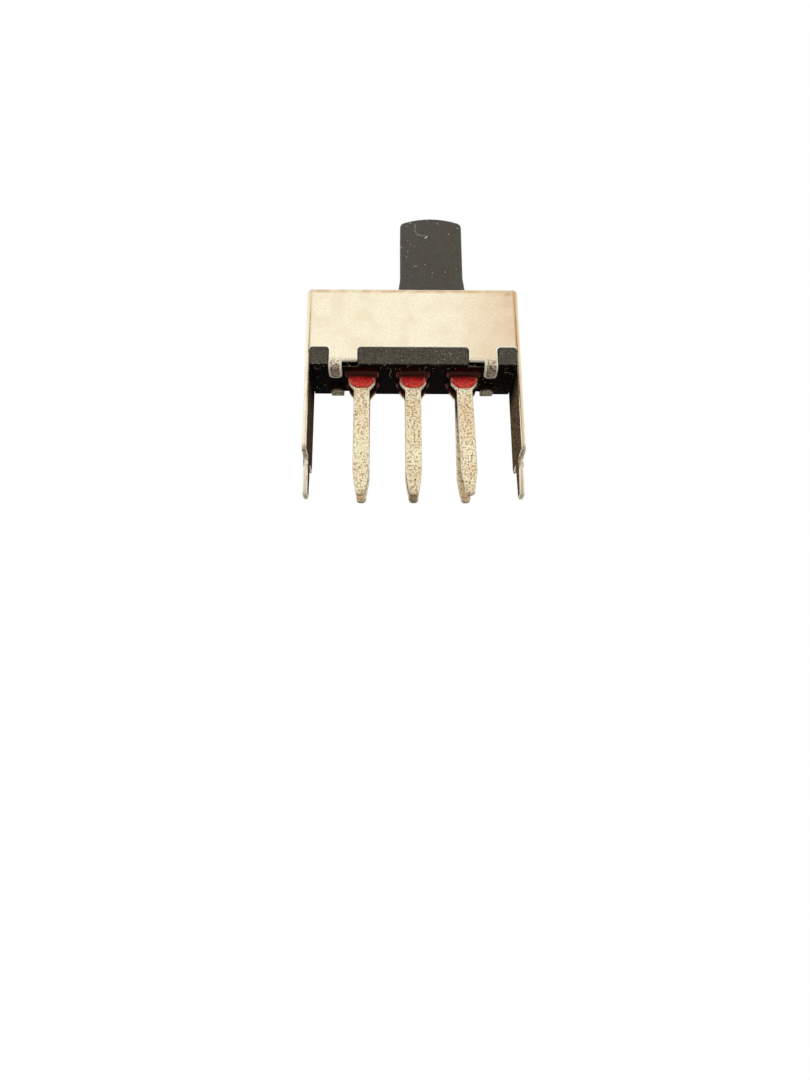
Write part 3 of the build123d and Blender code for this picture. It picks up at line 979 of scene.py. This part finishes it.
def fibre(name, body, radius, points):
    """A short pale fibre that follows a few points, all in millimetres."""
    line = bpy.data.curves.new(name, "CURVE")
    line.dimensions = "3D"
    line.bevel_depth = radius * millimetre
    line.bevel_resolution = fibre_roundness
    spline = line.splines.new("NURBS")
    spline.points.add(len(points) - 1)
    for point, place in zip(spline.points, points):
        point.co = (*(coordinate * millimetre for coordinate in place), 1.0)
    spline.order_u = fibre_order
    spline.use_endpoint_u = True
    mesh = plain_mesh(link_object(name + "_line", line))
    mesh.materials.clear()
    mesh.materials.append(dust)
    mesh.shade_smooth()
    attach(link_object(name, mesh), body)


fibre("knob_lint", "slide_unit", radius=0.016, points=[
    (0.32, -1.41, 22.05),
    (0.26, -1.41, 21.70),
    (0.28, -1.41, 21.25),
    (0.52, -1.41, 20.93),
    (0.95, -1.41, 20.84),
    (1.15, -1.41, 20.95),
])
fibre("knob_chip", "slide_unit", radius=0.055, points=[
    (1.12, -1.40, 20.60),
    (1.22, -1.41, 20.68),
    (1.34, -1.40, 20.82),
])
fibre("base_lint", "frame", radius=0.012, points=[
    (7.5, -1.2, 7.47),
    (7.8, -1.35, 7.46),
    (8.1, -1.2, 7.46),
    (8.3, -0.9, 7.47),
])
fibre("bar_lint", "frame", radius=0.012, points=[
    (-1.9, -1.9, 7.47),
    (-1.7, -1.5, 7.46),
    (-2.0, -0.9, 7.46),
    (-1.8, -0.3, 7.47),
])

# Floor
# A pale sheet under the pins that fades into the white around it.
# It shows from above only, so that a view from below looks past it.
floor_half = 0.3
floor_level = cad_box[0].z
fade_start = 0.03
fade_end = 0.15
pale_paper = (0.86, 0.86, 0.85, 1)
plain_white = (1, 1, 1, 1)


def floor_paper():
    """Pale paper near the part, plain white further out, and clear from below."""
    material = bpy.data.materials.new("floor_paper")
    material.use_nodes = True
    tree = material.node_tree
    tree.nodes.clear()
    place = add_node(tree, "ShaderNodeTexCoord").outputs["Object"]
    distance = add_node(tree, "ShaderNodeVectorMath", {0: place}, operation="LENGTH").outputs["Value"]
    far = rise(tree, distance, zero_at=fade_start, one_at=fade_end)
    paper = add_node(tree, "ShaderNodeBsdfDiffuse", {"Color": pale_paper}).outputs[0]
    white = add_node(tree, "ShaderNodeEmission", {"Color": plain_white}).outputs[0]
    faded = add_node(tree, "ShaderNodeMixShader", {0: far, 1: paper, 2: white}).outputs[0]
    clear = add_node(tree, "ShaderNodeBsdfTransparent").outputs[0]
    behind = add_node(tree, "ShaderNodeNewGeometry").outputs["Backfacing"]
    sided = add_node(tree, "ShaderNodeMixShader", {0: behind, 1: faded, 2: clear}).outputs[0]
    add_node(tree, "ShaderNodeOutputMaterial", {"Surface": sided})
    return material


floor_mesh = bpy.data.meshes.new("floor")
floor_corners = [
    (-floor_half, -floor_half, floor_level),
    (floor_half, -floor_half, floor_level),
    (floor_half, floor_half, floor_level),
    (-floor_half, floor_half, floor_level),
]
floor_mesh.from_pydata(floor_corners, [], [(0, 1, 2, 3)])
floor_mesh.materials.append(floor_paper())
link_object("floor", floor_mesh)

# Light
# A white room, softly lit: a broad lamp in front and above, and weaker ones at the side and behind.
# The room itself shows as plain white, also in the metal.
room_light = 0.35
shown_light = 1.0
world = bpy.data.worlds.new("white_room")
bpy.context.scene.world = world
world.use_nodes = True
room = world.node_tree
room.nodes.clear()
rays = add_node(room, "ShaderNodeLightPath").outputs
seen = either(room, rays["Is Camera Ray"], rays["Is Glossy Ray"])
shown = either(room, seen, rays["Is Transmission Ray"])
white_room = add_node(room, "ShaderNodeBackground", {
    "Color": plain_white,
    "Strength": between(room, shown, at_zero=room_light, at_one=shown_light),
}).outputs[0]
add_node(room, "ShaderNodeOutputWorld", {"Surface": white_room})


def soft_lamp(name, place, size, power):
    """A square soft lamp that faces the middle of the part and isn't mirrored in the metal."""
    lamp = bpy.data.lights.new(name, "AREA")
    lamp.size = size
    lamp.energy = power
    holder = link_object(name, lamp)
    holder.location = place
    middle = (cad_box[0] + cad_box[1]) / 2
    holder.rotation_euler = (middle - Vector(place)).to_track_quat("-Z", "Y").to_euler()
    holder.visible_glossy = False


soft_lamp("key_lamp", place=(-0.05, -0.17, 0.09), size=0.06, power=0.09)
soft_lamp("side_lamp", place=(0.15, -0.05, 0.05), size=0.10, power=0.03)
soft_lamp("back_lamp", place=(0.05, 0.15, 0.09), size=0.10, power=0.05)

# Camera
# The photograph's view, from in front and below, looking up at the part.
camera_place = Vector((-0.00175, -0.06006, -0.02670))
camera_target = Vector((-0.00076, -0.00330, -0.00774))
camera_roll = radians(0.27)
camera_lens = 27.03
camera_sensor_width = 36.0
camera = link_object("camera", bpy.data.cameras.new("camera"))
camera.data.lens = camera_lens
camera.data.sensor_width = camera_sensor_width
camera.data.clip_start = millimetre
aim = (camera_target - camera_place).to_track_quat("-Z", "Y").to_matrix().to_4x4()
camera.matrix_world = Matrix.Translation(camera_place) @ aim @ Matrix.Rotation(-camera_roll, 4, "Z")
bpy.context.scene.camera = camera

bpy.context.scene.view_settings.view_transform = "Standard"
